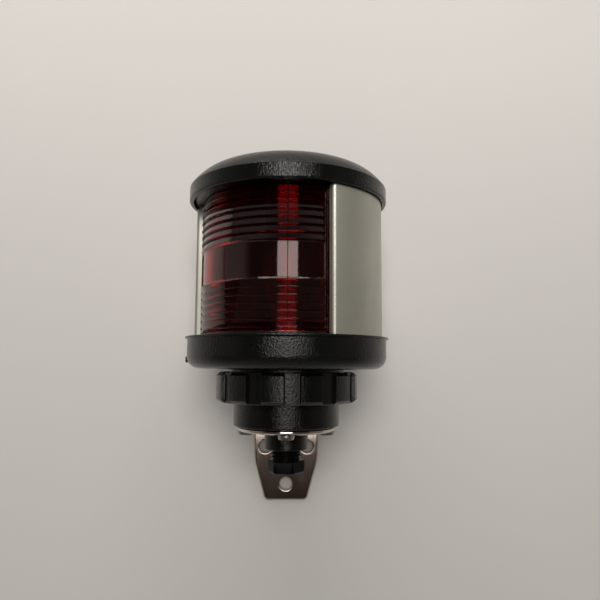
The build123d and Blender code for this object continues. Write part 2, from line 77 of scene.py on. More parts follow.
# sizes that several pieces share, mm
LENS_MID = 86.0
LENS_BORE_R = 33.0
LENS_FOOT_R = 35.5
GROOVE_IN, GROOVE_OUT = LENS_BORE_R - 0.3, LENS_FOOT_R + 0.3
PAN_R = 31.5
SHROUD_R = 40.4
CUP_FOOT = BRACKET_HIGH.z
CABLE_R = 3.6
BOSS_R = 9.0
SCREW_CIRCLE_R = 17.1


# ------------------------------------------------------------------------ mesh helpers
def rounded(corners, steps=5):
    """Closed outline through (x, y, radius) corners, each corner rounded by an arc."""
    outline = []
    for index, (x, y, radius) in enumerate(corners):
        here = Vector((x, y))
        before = Vector(corners[index - 1][:2]) - here
        after = Vector(corners[(index + 1) % len(corners)][:2]) - here
        if radius <= 0:
            outline.append((x, y))
            continue
        u = before.normalized()
        v = after.normalized()
        half = math.acos(max(-1.0, min(1.0, u.dot(v)))) / 2
        reach = min(radius / math.tan(half), 0.49 * before.length, 0.49 * after.length)
        size = reach * math.tan(half)
        centre = here + (u + v).normalized() * (size / math.sin(half))
        first = here + u * reach - centre
        last = here + v * reach - centre
        start = math.atan2(first.y, first.x)
        turn = math.atan2(last.y, last.x) - start
        turn = (turn + math.pi) % (2 * math.pi) - math.pi
        for step in range(steps + 1):
            angle = start + turn * step / steps
            outline.append((centre.x + size * math.cos(angle), centre.y + size * math.sin(angle)))
    return outline


def place(azimuth, radius, height):
    """Point in the frame, in metres, from its azimuth, radius and height about the lantern's axis."""
    angle = math.radians(azimuth)
    x = AXIS_X + radius * math.sin(angle)
    y = AXIS_Y - radius * math.cos(angle)
    return Vector((x, y, height)) * MM


def circle(count):
    """Angles of a full circle, in radians."""
    return [2 * math.pi * index / count for index in range(count)]


def even_angles(count, start=0.0, arc=360.0):
    """Evenly spaced azimuths; a full turn doesn't repeat its first one."""
    if arc >= 360.0:
        return [start + 360.0 * index / count for index in range(count)]
    return [start + arc * index / count for index in range(count + 1)]


def finished(name, mesh_maker, body, material, nodes=(), sharp=35.0):
    """Turn a bmesh into a piece that rides on a body, with clean smooth shading."""
    bmesh.ops.remove_doubles(mesh_maker, verts=mesh_maker.verts, dist=1e-7)
    bmesh.ops.recalc_face_normals(mesh_maker, faces=mesh_maker.faces)
    mesh = bpy.data.meshes.new(name)
    mesh_maker.to_mesh(mesh)
    mesh_maker.free()
    mesh.shade_smooth()
    mesh.set_sharp_from_angle(angle=math.radians(sharp))
    piece = bpy.data.objects.new(name, mesh)
    bpy.context.scene.collection.objects.link(piece)
    mesh.materials.append(material)
    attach(piece, body)
    if nodes:
        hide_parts(*nodes)
    return piece


def add_lathe(maker, outline, angles, closed=True, shape=None):
    """Sweep an outline of (radius, height) about the axis; shape may vary the radius."""
    rings = []
    for angle in angles:
        row = []
        for radius, height in outline:
            size = shape(angle, radius, height) if shape else radius
            row.append(maker.verts.new(place(angle, size, height)))
        rings.append(row)
    pairs = list(zip(rings, rings[1:]))
    if closed:
        pairs.append((rings[-1], rings[0]))
    count = len(outline)
    for left, right in pairs:
        for index in range(count):
            after = (index + 1) % count
            maker.faces.new((left[index], right[index], right[after], left[after]))
    if not closed:
        maker.faces.new(rings[0])
        maker.faces.new(list(reversed(rings[-1])))


def weighted(piece):
    """Keep large faces flat-looking beside small rounded edges."""
    modifier = piece.modifiers.new("even_normals", "WEIGHTED_NORMAL")
    modifier.keep_sharp = True
    return piece


# --------------------------------------------------------------------------- materials
INWARD_LIMIT = -20.0  # mm out from the axis, along a surface's normal; below it a surface looks inwards


class Shader:
    """A node material with a Principled shader and a few helpers."""

    def __init__(self, name):
        self.material = bpy.data.materials.new(name)
        self.material.use_nodes = True
        self.tree = self.material.node_tree
        self.bsdf = self.tree.nodes["Principled BSDF"]
        self.coords = self.tree.nodes.new("ShaderNodeTexCoord").outputs["Object"]

    def set(self, **values):
        """Set the shader's own sockets by short names."""
        names = {
            "rough": "Roughness", "metal": "Metallic", "ior": "IOR", "clear": "Transmission Weight",
            "specular": "Specular IOR Level", "aniso": "Anisotropic",
        }
        for key, value in values.items():
            self.bsdf.inputs[names[key]].default_value = value
        return self

    def link(self, source, target):
        self.tree.links.new(source, target)

    def scaled(self, scale):
        """Object coordinates multiplied by a vector, to stretch a pattern."""
        mapping = self.tree.nodes.new("ShaderNodeMapping")
        mapping.inputs["Scale"].default_value = scale
        self.link(self.coords, mapping.inputs["Vector"])
        return mapping.outputs["Vector"]

    def noise(self, scale, detail=3.0, rough=0.55, vector=None):
        node = self.tree.nodes.new("ShaderNodeTexNoise")
        node.inputs["Scale"].default_value = scale
        node.inputs["Detail"].default_value = detail
        node.inputs["Roughness"].default_value = rough
        self.link(vector or self.coords, node.inputs["Vector"])
        return node.outputs["Fac"]

    def cells(self, scale):
        """Round cells packed at random, as distance from each one's centre."""
        node = self.tree.nodes.new("ShaderNodeTexVoronoi")
        node.feature = "F1"
        node.inputs["Scale"].default_value = scale
        self.link(self.coords, node.inputs["Vector"])
        return node.outputs["Distance"]

    def ramp(self, source, stops):
        """Map a value to colours, or greys, through (position, colour) stops."""
        node = self.tree.nodes.new("ShaderNodeValToRGB")
        elements = node.color_ramp.elements
        while len(elements) < len(stops):
            elements.new(0.5)
        for element, (position, colour) in zip(elements, stops):
            if isinstance(colour, float):
                colour = (colour, colour, colour)
            element.position = position
            element.color = (*colour, 1.0)
        self.link(source, node.inputs["Fac"])
        return node.outputs["Color"]

    def mix(self, factor, first, second, kind="MIX"):
        node = self.tree.nodes.new("ShaderNodeMix")
        node.data_type = "RGBA"
        node.blend_type = kind
        for value, socket in ((factor, node.inputs[0]), (first, node.inputs[6]), (second, node.inputs[7])):
            if hasattr(value, "node"):
                self.link(value, socket)
            elif isinstance(value, tuple):
                socket.default_value = (*value, 1.0)
            else:
                socket.default_value = value
        return node.outputs[2]

    def maths(self, kind, first, second):
        node = self.tree.nodes.new("ShaderNodeMath")
        node.operation = kind
        for value, socket in ((first, node.inputs[0]), (second, node.inputs[1])):
            if hasattr(value, "node"):
                self.link(value, socket)
            else:
                socket.default_value = value
        return node.outputs[0]

    def worn(self):
        """Share of edge wear, from how sharply the surface turns outwards."""
        geometry = self.tree.nodes.new("ShaderNodeNewGeometry")
        return self.ramp(geometry.outputs["Pointiness"], [(0.515, 0.0), (0.56, 1.0)])

    def split(self, source):
        """The X, Y and Z of a vector, by name."""
        node = self.tree.nodes.new("ShaderNodeSeparateXYZ")
        self.link(source, node.inputs[0])
        return node.outputs

    def facing_axis(self):
        """1 where a surface faces inwards, towards the lantern's axis, else 0."""
        axis = (-AXIS_X * MM, -AXIS_Y * MM, 0.0)
        geometry = self.tree.nodes.new("ShaderNodeNewGeometry")
        outwards = self.vector_maths("ADD", self.coords, axis)
        outwards = self.vector_maths("MULTIPLY", outwards, (1.0, 1.0, 0.0))
        product = self.tree.nodes.new("ShaderNodeVectorMath")
        product.operation = "DOT_PRODUCT"
        self.link(outwards, product.inputs[0])
        self.link(geometry.outputs["Normal"], product.inputs[1])
        return self.maths("LESS_THAN", product.outputs["Value"], INWARD_LIMIT * MM)

    def vector_maths(self, kind, source, vector):
        node = self.tree.nodes.new("ShaderNodeVectorMath")
        node.operation = kind
        self.link(source, node.inputs[0])
        node.inputs[1].default_value = vector
        return node.outputs["Vector"]

    def colour(self, source):
        self.link(source, self.bsdf.inputs["Base Color"])

    def roughness(self, source):
        self.link(source, self.bsdf.inputs["Roughness"])

    def bump(self, source, depth_mm, strength=1.0, chain=None):
        node = self.tree.nodes.new("ShaderNodeBump")
        node.inputs["Strength"].default_value = strength
        node.inputs["Distance"].default_value = depth_mm * MM
        self.link(source, node.inputs["Height"])
        if chain is not None:
            self.link(chain, node.inputs["Normal"])
        self.link(node.outputs["Normal"], self.bsdf.inputs["Normal"])
        return node.outputs["Normal"]


NYLON_GRAIN = 1560.0
NYLON_DARK = (0.0027, 0.0031, 0.0030)
NYLON_LIGHT = (0.0055, 0.0061, 0.0059)


def black_plastic(name, rough, depth, gloss):
    """Grained moulded nylon: pebbled cells and fine speckle, duller where it faces up."""
    shader = Shader(name).set(ior=1.45)
    cells = shader.cells(NYLON_GRAIN)
    fine = shader.noise(NYLON_GRAIN * 0.9, detail=2.0, rough=0.5)
    cloud = shader.noise(28.0, detail=4.0)
    base = shader.mix(shader.ramp(cloud, [(0.35, 0.0), (0.7, 1.0)]), NYLON_DARK, NYLON_LIGHT)
    worn = shader.mix(shader.worn(), base, tuple(2.2 * value + 0.008 for value in NYLON_LIGHT))
    shader.colour(worn)
    low, high = rough
    shader.roughness(shader.ramp(fine, [(0.3, low), (0.7, high)]))
    geometry = shader.tree.nodes.new("ShaderNodeNewGeometry")
    facing = shader.split(geometry.outputs["Normal"])
    upward = shader.ramp(facing["Z"], [(0.15, gloss), (0.55, gloss * 0.42)])
    shader.link(upward, shader.bsdf.inputs["Specular IOR Level"])
    first = shader.bump(cells, depth)
    shader.bump(fine, depth * 0.8, chain=first)
    return shader.material


def red_lens():
    """Deep red clear moulding with faint flow marks and haze."""
    shader = Shader("red_lens").set(clear=0.99, ior=1.58, specular=0.32)
    flow = shader.noise(55.0, detail=3.0, vector=shader.scaled((1.0, 1.0, 0.35)))
    shader.colour(shader.ramp(flow, [(0.3, (0.34, 0.0012, 0.003)), (0.75, (0.44, 0.0025, 0.006))]))
    haze = shader.noise(900.0, detail=5.0, rough=0.7)
    shader.roughness(shader.ramp(haze, [(0.35, 0.035), (0.8, 0.11)]))
    first = shader.bump(flow, 0.05, 0.5)
    shader.bump(haze, 0.004, 0.5, chain=first)
    return shader.material


INNER_BLACK = (0.06, 0.06, 0.06)


def steel(name, colour, rough_low, rough_high, brush_scale, brush_depth, smear=0.0, stretch=0.0):
    """Steel with drawn lines and smudges; stretch widens its highlights and blacks its inner face."""
    shader = Shader(name).set(metal=1.0, aniso=stretch)
    rolled = stretch > 0.0
    if rolled:
        tangent = shader.tree.nodes.new("ShaderNodeTangent")
        tangent.direction_type = "RADIAL"
        tangent.axis = "Z"
        shader.link(tangent.outputs[0], shader.bsdf.inputs["Tangent"])
    lines = shader.noise(1.0, detail=5.0, rough=0.65, vector=shader.scaled(brush_scale))
    smudge = shader.noise(45.0, detail=5.0, rough=0.6)
    dull = tuple(0.82 * value for value in colour)
    tone = shader.mix(shader.ramp(smudge, [(0.35, 0.0), (0.75, 1.0)]), colour, dull)
    finish = shader.mix(shader.ramp(lines, [(0.3, 0.0), (0.8, 0.35)]), tone, dull)
    if rolled:
        finish = shader.mix(shader.facing_axis(), finish, INNER_BLACK)
    shader.colour(finish)
    spread = shader.mix(0.5, lines, smudge)
    shader.roughness(shader.ramp(spread, [(0.3, rough_low), (0.7, rough_high)]))
    first = shader.bump(lines, brush_depth, 0.6)
    if smear:
        shader.bump(smudge, smear, 0.4, chain=first)
    return shader.material


def simple(name, low_colour, high_colour, rough, scale, depth, **values):
    """A plain moulded, cast or drawn finish with mottled colour, roughness and bump."""
    shader = Shader(name).set(**values)
    grain = shader.noise(scale, detail=5.0, rough=0.6)
    shader.colour(shader.ramp(grain, [(0.3, low_colour), (0.7, high_colour)]))
    shader.roughness(shader.ramp(grain, [(0.25, rough * 0.8), (0.75, min(1.0, rough * 1.2))]))
    shader.bump(grain, depth, 0.7)
    return shader.material


def grey(value):
    """A neutral colour."""
    return (value, value, value)


BLACK = black_plastic("black_nylon", (0.13, 0.24), 0.09, 0.37)
CAP_BLACK = black_plastic("cap_nylon", (0.10, 0.20), 0.10, 0.38)
LENS_RED = red_lens()
SATIN = steel("satin_steel", (0.54, 0.53, 0.465), 0.34, 0.42, (90.0, 90.0, 2600.0), 0.0015, stretch=0.8)
POLISHED = steel("polished_steel", (0.70, 0.60, 0.54), 0.05, 0.12, (700.0, 60.0, 60.0), 0.002, 0.01)
SCREW = steel("screw_steel", (0.38, 0.37, 0.36), 0.24, 0.38, (1500.0, 1500.0, 1500.0), 0.006)
GLAND_BLACK = simple(
    "gland_nylon", (0.002, 0.002, 0.0024), (0.004, 0.004, 0.0045), 0.30, 1400.0, 0.008, specular=0.05
)

SLOT_MATERIALS = {
    "rubber": simple("black_rubber", grey(0.008), grey(0.02), 0.75, 700.0, 0.03),
    "brass": simple("dull_brass", (0.55, 0.38, 0.15), (0.72, 0.53, 0.25), 0.32, 300.0, 0.01, metal=1.0),
    "phenolic": simple("phenolic_board", (0.10, 0.04, 0.015), (0.20, 0.09, 0.035), 0.5, 420.0, 0.02),
    "clear_glass": simple("lamp_glass", (0.93, 0.94, 0.95), grey(1.0), 0.02, 60.0, 0.01, clear=1.0, ior=1.5),
    "tungsten": simple("tungsten_wire", grey(0.10), grey(0.25), 0.5, 900.0, 0.01, metal=1.0),
    "spring_steel": simple("spring_wire", grey(0.35), grey(0.55), 0.28, 800.0, 0.005, metal=1.0),
    "solder": simple("solder_blob", (0.40, 0.40, 0.39), (0.60, 0.60, 0.58), 0.4, 500.0, 0.02, metal=1.0),
    "screen_black": simple("screen_paint", grey(0.08), grey(0.12), 0.85, 800.0, 0.02),
    "black_plastic": BLACK,
    "cap_plastic": CAP_BLACK,
    "red_lens": LENS_RED,
    "satin_steel": SATIN,
    "polished_steel": POLISHED,
    "screw_steel": SCREW,
}


def dress_cad_nodes():
    """Give every carried CAD node the material of its slot."""
    for subpart in frame["record"]["subparts"]:
        piece = frame["nodes"][subpart["node"]]
        piece.data.materials.clear()
        piece.data.materials.append(SLOT_MATERIALS[subpart["material_slot"]])


# ------------------------------------------------------------------------------ pieces
def cap_shell():
    """Domed cap: soft rim, shoulder running into a nearly flat crown, hollow below."""
    rise = 10.0
    wall = 3.0
    rim = CAP_HIGH.z - rise
    low = rim - 6.0

    def dome(radius):
        return rim + rise * (1 - (radius / CAP_R) ** 6)

    slot_in, slot_out = SHROUD_R - 0.9, SHROUD_R + 0.2
    slot_top = low + 2.2
    groove_top = low + 4.0
    under = low + 0.4
    shoulder = CAP_R * 0.975
    skirt = rounded([
        (slot_in, under, 0.15), (slot_in, slot_top, 0), (slot_out, slot_top, 0), (slot_out, low, 0.35),
        (CAP_R, low, 0.9), (CAP_R, rim, 0.7), (shoulder, dome(shoulder), 0),
    ])
    stations = [CAP_R * (0.96 - 0.95 * step / 40) for step in range(41)]
    crown = [(radius, dome(radius)) for radius in stations]
    hollow = [
        (0.4, dome(0) - wall), (24.0, dome(0) - wall - 0.4), (PAN_R, dome(PAN_R) - 1.5 * wall),
        (PAN_R, under), (GROOVE_IN, under), (GROOVE_IN, groove_top), (GROOVE_OUT, groove_top),
        (GROOVE_OUT, under),
    ]
    maker = bmesh.new()
    add_lathe(maker, skirt + crown + hollow, even_angles(240))
    for height in (dome(stations[-1]), dome(0) - wall):
        rim_verts = [
            vert for vert in maker.verts
            if abs(vert.co.z - height * MM) < 1e-7 and (vert.co.xy - place(0, 0, 0).xy).length < 0.6 * MM
        ]
        rim_verts.sort(key=lambda vert: math.atan2(vert.co.y - AXIS_Y * MM, vert.co.x - AXIS_X * MM))
        maker.faces.new(rim_verts)
    piece = finished("cap_shell", maker, "lantern", CAP_BLACK, ["top_cap"], 40.0)
    cut_wells(piece)
    return weighted(piece)


def cut_wells(piece):
    """Three screw wells in the cap's crown, over the cap screws."""
    depth = 12.0
    middle = node_box("cap_screws")[1].z + depth / 4
    for centre in well_centres():
        bpy.ops.mesh.primitive_cylinder_add(
            vertices=64, radius=3.9 * MM, depth=depth * MM, location=(centre.x, centre.y, middle * MM),
        )
        cutter = bpy.context.active_object
        modifier = piece.modifiers.new("well", "BOOLEAN")
        modifier.object = cutter
        modifier.solver = "EXACT"
        apply_modifiers(piece)
        bpy.data.objects.remove(cutter, do_unlink=True)


def well_centres():
    """Axes of the three cap screws, found from the screw node's separate solids."""
    head_width = 8.0 * MM
    clumps = []
    for point in sorted(tuple(vert.co.xy) for vert in frame["nodes"]["cap_screws"].data.vertices):
        near = [clump for clump in clumps if (Vector(point) - clump[0]).length < head_width]
        if near:
            near[0].append(Vector(point))
        else:
            clumps.append([Vector(point)])
    centres = []
    for clump in clumps:
        xs = [point.x for point in clump]
        ys = [point.y for point in clump]
        centres.append(Vector(((min(xs) + max(xs)) / 2, (min(ys) + max(ys)) / 2)))
    return centres


def apply_modifiers(piece):
    """Replace a piece's mesh by its evaluated mesh, with no modifiers left."""
    depsgraph = bpy.context.evaluated_depsgraph_get()
    evaluated = bpy.data.meshes.new_from_object(piece.evaluated_get(depsgraph))
    piece.modifiers.clear()
    piece.data = evaluated


def lantern_tray():
    """Round tray below the lens, with a thin top lip, a rounded foot and a plain neck."""
    low = TRAY_LOW.z
    flange = low + 8.0
    top = flange + 13.0
    wall, lip = 42.0, 42.9
    neck, neck_bore = 24.4, 21.0
    floor, floor_under = flange + 4.0, flange + 2.0
    lamp_hole = 11.2
    outer = rounded([
        (neck_bore, low, 0.3), (neck, low, 0.4), (neck, flange, 0.5), (wall, flange, 5.0),
        (wall, top - 1.1, 0.3), (lip, top - 0.75, 0.3), (lip, top, 0.25), (GROOVE_OUT + 1.3, top, 0.1),
        (GROOVE_OUT + 1.0, top + 1, 0.25), (GROOVE_OUT, top + 1, 0.15), (GROOVE_OUT, top - 2.0, 0),
        (GROOVE_IN, top - 2.0, 0), (GROOVE_IN, top, 0.2), (PAN_R, top, 0.2), (PAN_R, floor, 0.6),
        (lamp_hole, floor, 0), (lamp_hole, floor_under, 0), (neck_bore, floor_under, 0),
    ])
    maker = bmesh.new()
    add_lathe(maker, outer, even_angles(240))
    pip = place(-90.0, wall - 1.0, flange + 3.6)
    turned = Matrix.Translation(pip) @ Matrix.Rotation(math.pi / 2, 4, "Y")
    pip_r, pip_length = 1.3 * MM, 3.8 * MM
    bmesh.ops.create_cone(
        maker, cap_ends=True, segments=24, radius1=pip_r, radius2=pip_r, depth=pip_length, matrix=turned,
    )
    return weighted(finished("lantern_tray", maker, "lantern", BLACK, ["lantern_base"]))


def wave(value):
    """Thread profile: flat root, flat crest and straight flanks, from 0 to 1."""
    share = abs((value % 1.0) * 2 - 1)
    return max(0.0, min(1.0, (share - 0.2) / 0.5))


def ring_grip():
    """Ring nut with twelve broad bevelled ribs."""
    low, high = RING_LOW.z, RING_HIGH.z
    core, rib = 28.2, 29.7
    bore, lip_bore, lip = 25.75, 22.55, 2.0
    bevel = 1.3
    pitch = 360.0 / 12
    first_rib, half_rib, slope = 19.4, 8.5, 0.9

    def ribbed(angle, radius, height):
        if radius < core - 0.01:
            return radius
        off = abs((angle - first_rib + pitch / 2) % pitch - pitch / 2)
        share = max(0.0, min(1.0, (half_rib + slope - off) / slope))
        share = share * share * (3 - 2 * share)
        ends = max(0.0, min(1.0, min(height - low, high - height) / bevel))
        return radius + (rib - core) * share * ends

    insets = (0.25, 0.7, bevel, bevel + 0.5, 3.0)
    side = [(core, low + inset) for inset in insets] + [(core, (low + high) / 2)]
    side += [(core, high - inset) for inset in reversed(insets)]
    inside = rounded([
        (bore, high, 0.6), (bore, low + lip, 0.2), (lip_bore, low + lip, 0.2), (lip_bore, low, 0.5),
    ])
    outline = [(core - 0.3, low)] + side + [(core - 0.3, high)] + inside
    maker = bmesh.new()
    add_lathe(maker, outline, even_angles(960), shape=ribbed)
    return weighted(finished("ring_grip", maker, "ring", BLACK, ["ring_nut"], 30.0))


def mounting_cup():
    """Cup on the bracket, with its collar inside the ring nut and the gland boss below."""
    low, high = CUP_LOW.z, CUP_HIGH.z
    cup, cup_bore, collar, gland_bore = 22.2, 19.5, 25.2, 6.65
    roof = CUP_FOOT - 1.0
    floor = CUP_FOOT + 3.0
    collar_under = high - 2.4
    outline = rounded([
        (CABLE_R, roof, 0), (gland_bore, roof, 0), (gland_bore, low, 0.4), (BOSS_R, low, 0.6),
        (BOSS_R, CUP_FOOT, 0.3), (cup, CUP_FOOT, 0.7), (cup, collar_under, 0.3), (collar, collar_under, 0.3),
        (collar, high, 0.3), (cup_bore, high, 0.3), (cup_bore, floor, 0.8), (CABLE_R, floor, 0),
    ])
    maker = bmesh.new()
    add_lathe(maker, outline, even_angles(160))
    return weighted(finished("mounting_cup", maker, "mount", BLACK, ["mounting_base"]))


def gland_plug():
    """Gland screw: bevelled hexagon head and a real helical thread, bored through."""
    low, high = GLAND_LOW.z, GLAND_HIGH.z
    shoulder, tip = low + 4.95, high - 0.3
    flat, corner, head_turn = 6.9, 7.72, 52.0
    root, crest = 5.6, 6.35
    pitch = 1.5

    def hexagon(angle):
        off = (angle - head_turn + 30.0) % 60.0 - 30.0
        return min(flat / math.cos(math.radians(off)), corner - 0.012 * max(0.0, abs(off) - 24.0) ** 2)

    def size(angle, radius, height):
        if radius < 4.5:
            return radius
        if height <= shoulder + 0.001:
            inset = flat - radius
            return hexagon(angle) - max(0.0, inset)
        depth = (crest - root) * wave(height / pitch - angle / 360.0)
        run_in = max(0.0, min(1.0, (height - shoulder - 0.5) / 0.6))
        run_out = max(0.0, min(1.0, (tip - height) / 0.8))
        return radius + depth * run_in * run_out

    head = [(flat - 0.75, low), (flat - 0.3, low + 0.25), (flat, low + 0.6), (flat, shoulder - 0.35)]
    head += [(flat - 0.15, shoulder - 0.12), (flat - 0.45, shoulder)]
    steps = 84
    shank = [(root, shoulder + 0.002 + (tip - shoulder) * step / steps) for step in range(steps + 1)]
    bored = [
        (root - 0.4, high), (CABLE_R + 0.3, high), (CABLE_R, tip), (CABLE_R, low + 0.5), (CABLE_R + 0.5, low),
    ]
    maker = bmesh.new()
    add_lathe(maker, head + shank + bored, even_angles(180), shape=size)
    return finished("gland_plug", maker, "gland", GLAND_BLACK, ["gland_screw"], 38.0)


def lens_optic():
    """Red lens: smooth band between stepped rings over the lit sector, plain behind."""
    bottom, top = LENS_LOW.z, LENS_HIGH.z
    bore, foot, band, crest = LENS_BORE_R, LENS_FOOT_R, 36.0, 36.9
    half_band, step = 7.5, 3.0
    sector_start, sector_end = -89.5, 23.0
    groove, rib = 0.95, 2.6
    soft = 0.18
    fall = 0.37
    reach_up, reach_down = 28.5, 26.7
    seam, seam_half = 0.13, 0.22

    def steps_to(reach):
        """Softly rounded steps, as radius and distance from the optic's middle."""
        points = [(band, share * half_band) for share in (0.25, 0.6, 0.9)]
        base = half_band
        span = 0.0
        while base < reach - 0.01:
            span = min(step, reach - base)
            if base > half_band:
                points.append((band - 0.1, base - 0.06))
            points += [(crest - soft, base - 0.02), (crest - 0.05, base + 0.06), (crest, base + soft)]
            for share in (0.17, 0.4, 0.62, 0.92):
                if share * step < span:
                    points.append((crest - 0.12 - fall * (share - 0.17) * step, base + share * step))
            base += step
        end = crest - 0.12 - fall * (span - 0.17 * step)
        return points + [(end, reach), (foot, reach + 0.1)]

    upper = [(radius, LENS_MID + height) for radius, height in steps_to(reach_up)]
    lower = [(radius, LENS_MID - height) for radius, height in reversed(steps_to(reach_down))]
    outline = [(bore, bottom), (foot, bottom)] + lower + [(band, LENS_MID)] + upper
    outline += [(foot, top), (bore, top)]
    outline += [(bore, top - (top - bottom) * share / 12) for share in range(1, 12)]

    def wrapped(angle):
        return (angle + 180.0) % 360.0 - 180.0

    def size(angle, radius, height):
        if radius <= foot:
            return radius
        turn = wrapped(angle)
        outside = max(sector_start - turn, turn - sector_end)
        if outside > groove + rib or 0 < outside < groove:
            return foot
        if outside > 0:
            return crest
        return radius + seam * max(0.0, 1 - abs(turn) / seam_half)

    edges = [sector_start - groove - rib, sector_start - groove, sector_start]
    edges += [sector_end, sector_end + groove, sector_end + groove + rib]
    special = [edge + off for edge in edges for off in (-0.05, 0.05)]
    special += [-seam_half, -0.08, 0.0, 0.08, seam_half]
    regular = [
        angle for angle in even_angles(288)
        if min(abs(wrapped(angle - other)) for other in special) > 0.3
    ]
    angles = sorted(angle % 360.0 for angle in regular + special)
    maker = bmesh.new()
    add_lathe(maker, outline, angles, shape=size)
    return finished("lens_optic", maker, "lantern", LENS_RED, ["lens"], 30.0)


def shroud_sheet():
    """Rolled stainless screen with a small bend and an inward return at each edge."""
    radius = SHROUD_R
    thick = 0.7
    bend = 1.5
    reach = 3.0
    start, end = 24.75, 266.25
    foot, head = SHROUD_LOW.z + 0.02, SHROUD_HIGH.z - 1.95  # clear of the lip; hidden in the cap's slot
    lean = math.degrees(bend / (radius - bend))

    def side(offset):
        """One face of the sheet, offset inwards from its outer face."""
        size = bend - offset
        edges = []
        for edge, sign in ((start, 1), (end, -1)):
            part = [(edge, radius - reach, sign * offset)]
            for angle in (math.radians(90.0 * step / 8) for step in range(9)):
                out = radius - bend + size * math.sin(angle)
                part.append((edge + sign * lean, out, -sign * size * math.cos(angle)))
            edges.append(part)
        middle = even_angles(160, start + lean, end - start - 2 * lean)[1:-1]
        return edges[0] + [(angle, radius - offset, 0.0) for angle in middle] + edges[1][::-1]

    def spot(entry):
        angle, out, across = entry
        turn = math.radians(angle)
        base = place(angle, out, 0)
        return base + Vector((math.cos(turn), math.sin(turn), 0)) * across * MM

    outline = [spot(entry) for entry in side(0.0)] + [spot(entry) for entry in reversed(side(thick))]
    maker = bmesh.new()
    rows = []
    for level in (foot, head):
        rows.append([maker.verts.new((point.x, point.y, level * MM)) for point in outline])
    count = len(outline)
    for index in range(count):
        after = (index + 1) % count
        maker.faces.new((rows[0][index], rows[0][after], rows[1][after], rows[1][index]))
    half = count // 2
    for row in rows:
        for index in range(half - 1):
            maker.faces.new((row[index], row[index + 1], row[count - 2 - index], row[count - 1 - index]))
    piece = finished("shroud_sheet", maker, "lantern", SATIN, ["shroud"], 50.0)
    modifier = piece.modifiers.new("edge", "BEVEL")
    modifier.width = 0.12 * MM
    modifier.segments = 2
    modifier.limit_method = "ANGLE"
    modifier.angle_limit = math.radians(50)
    return weighted(piece)


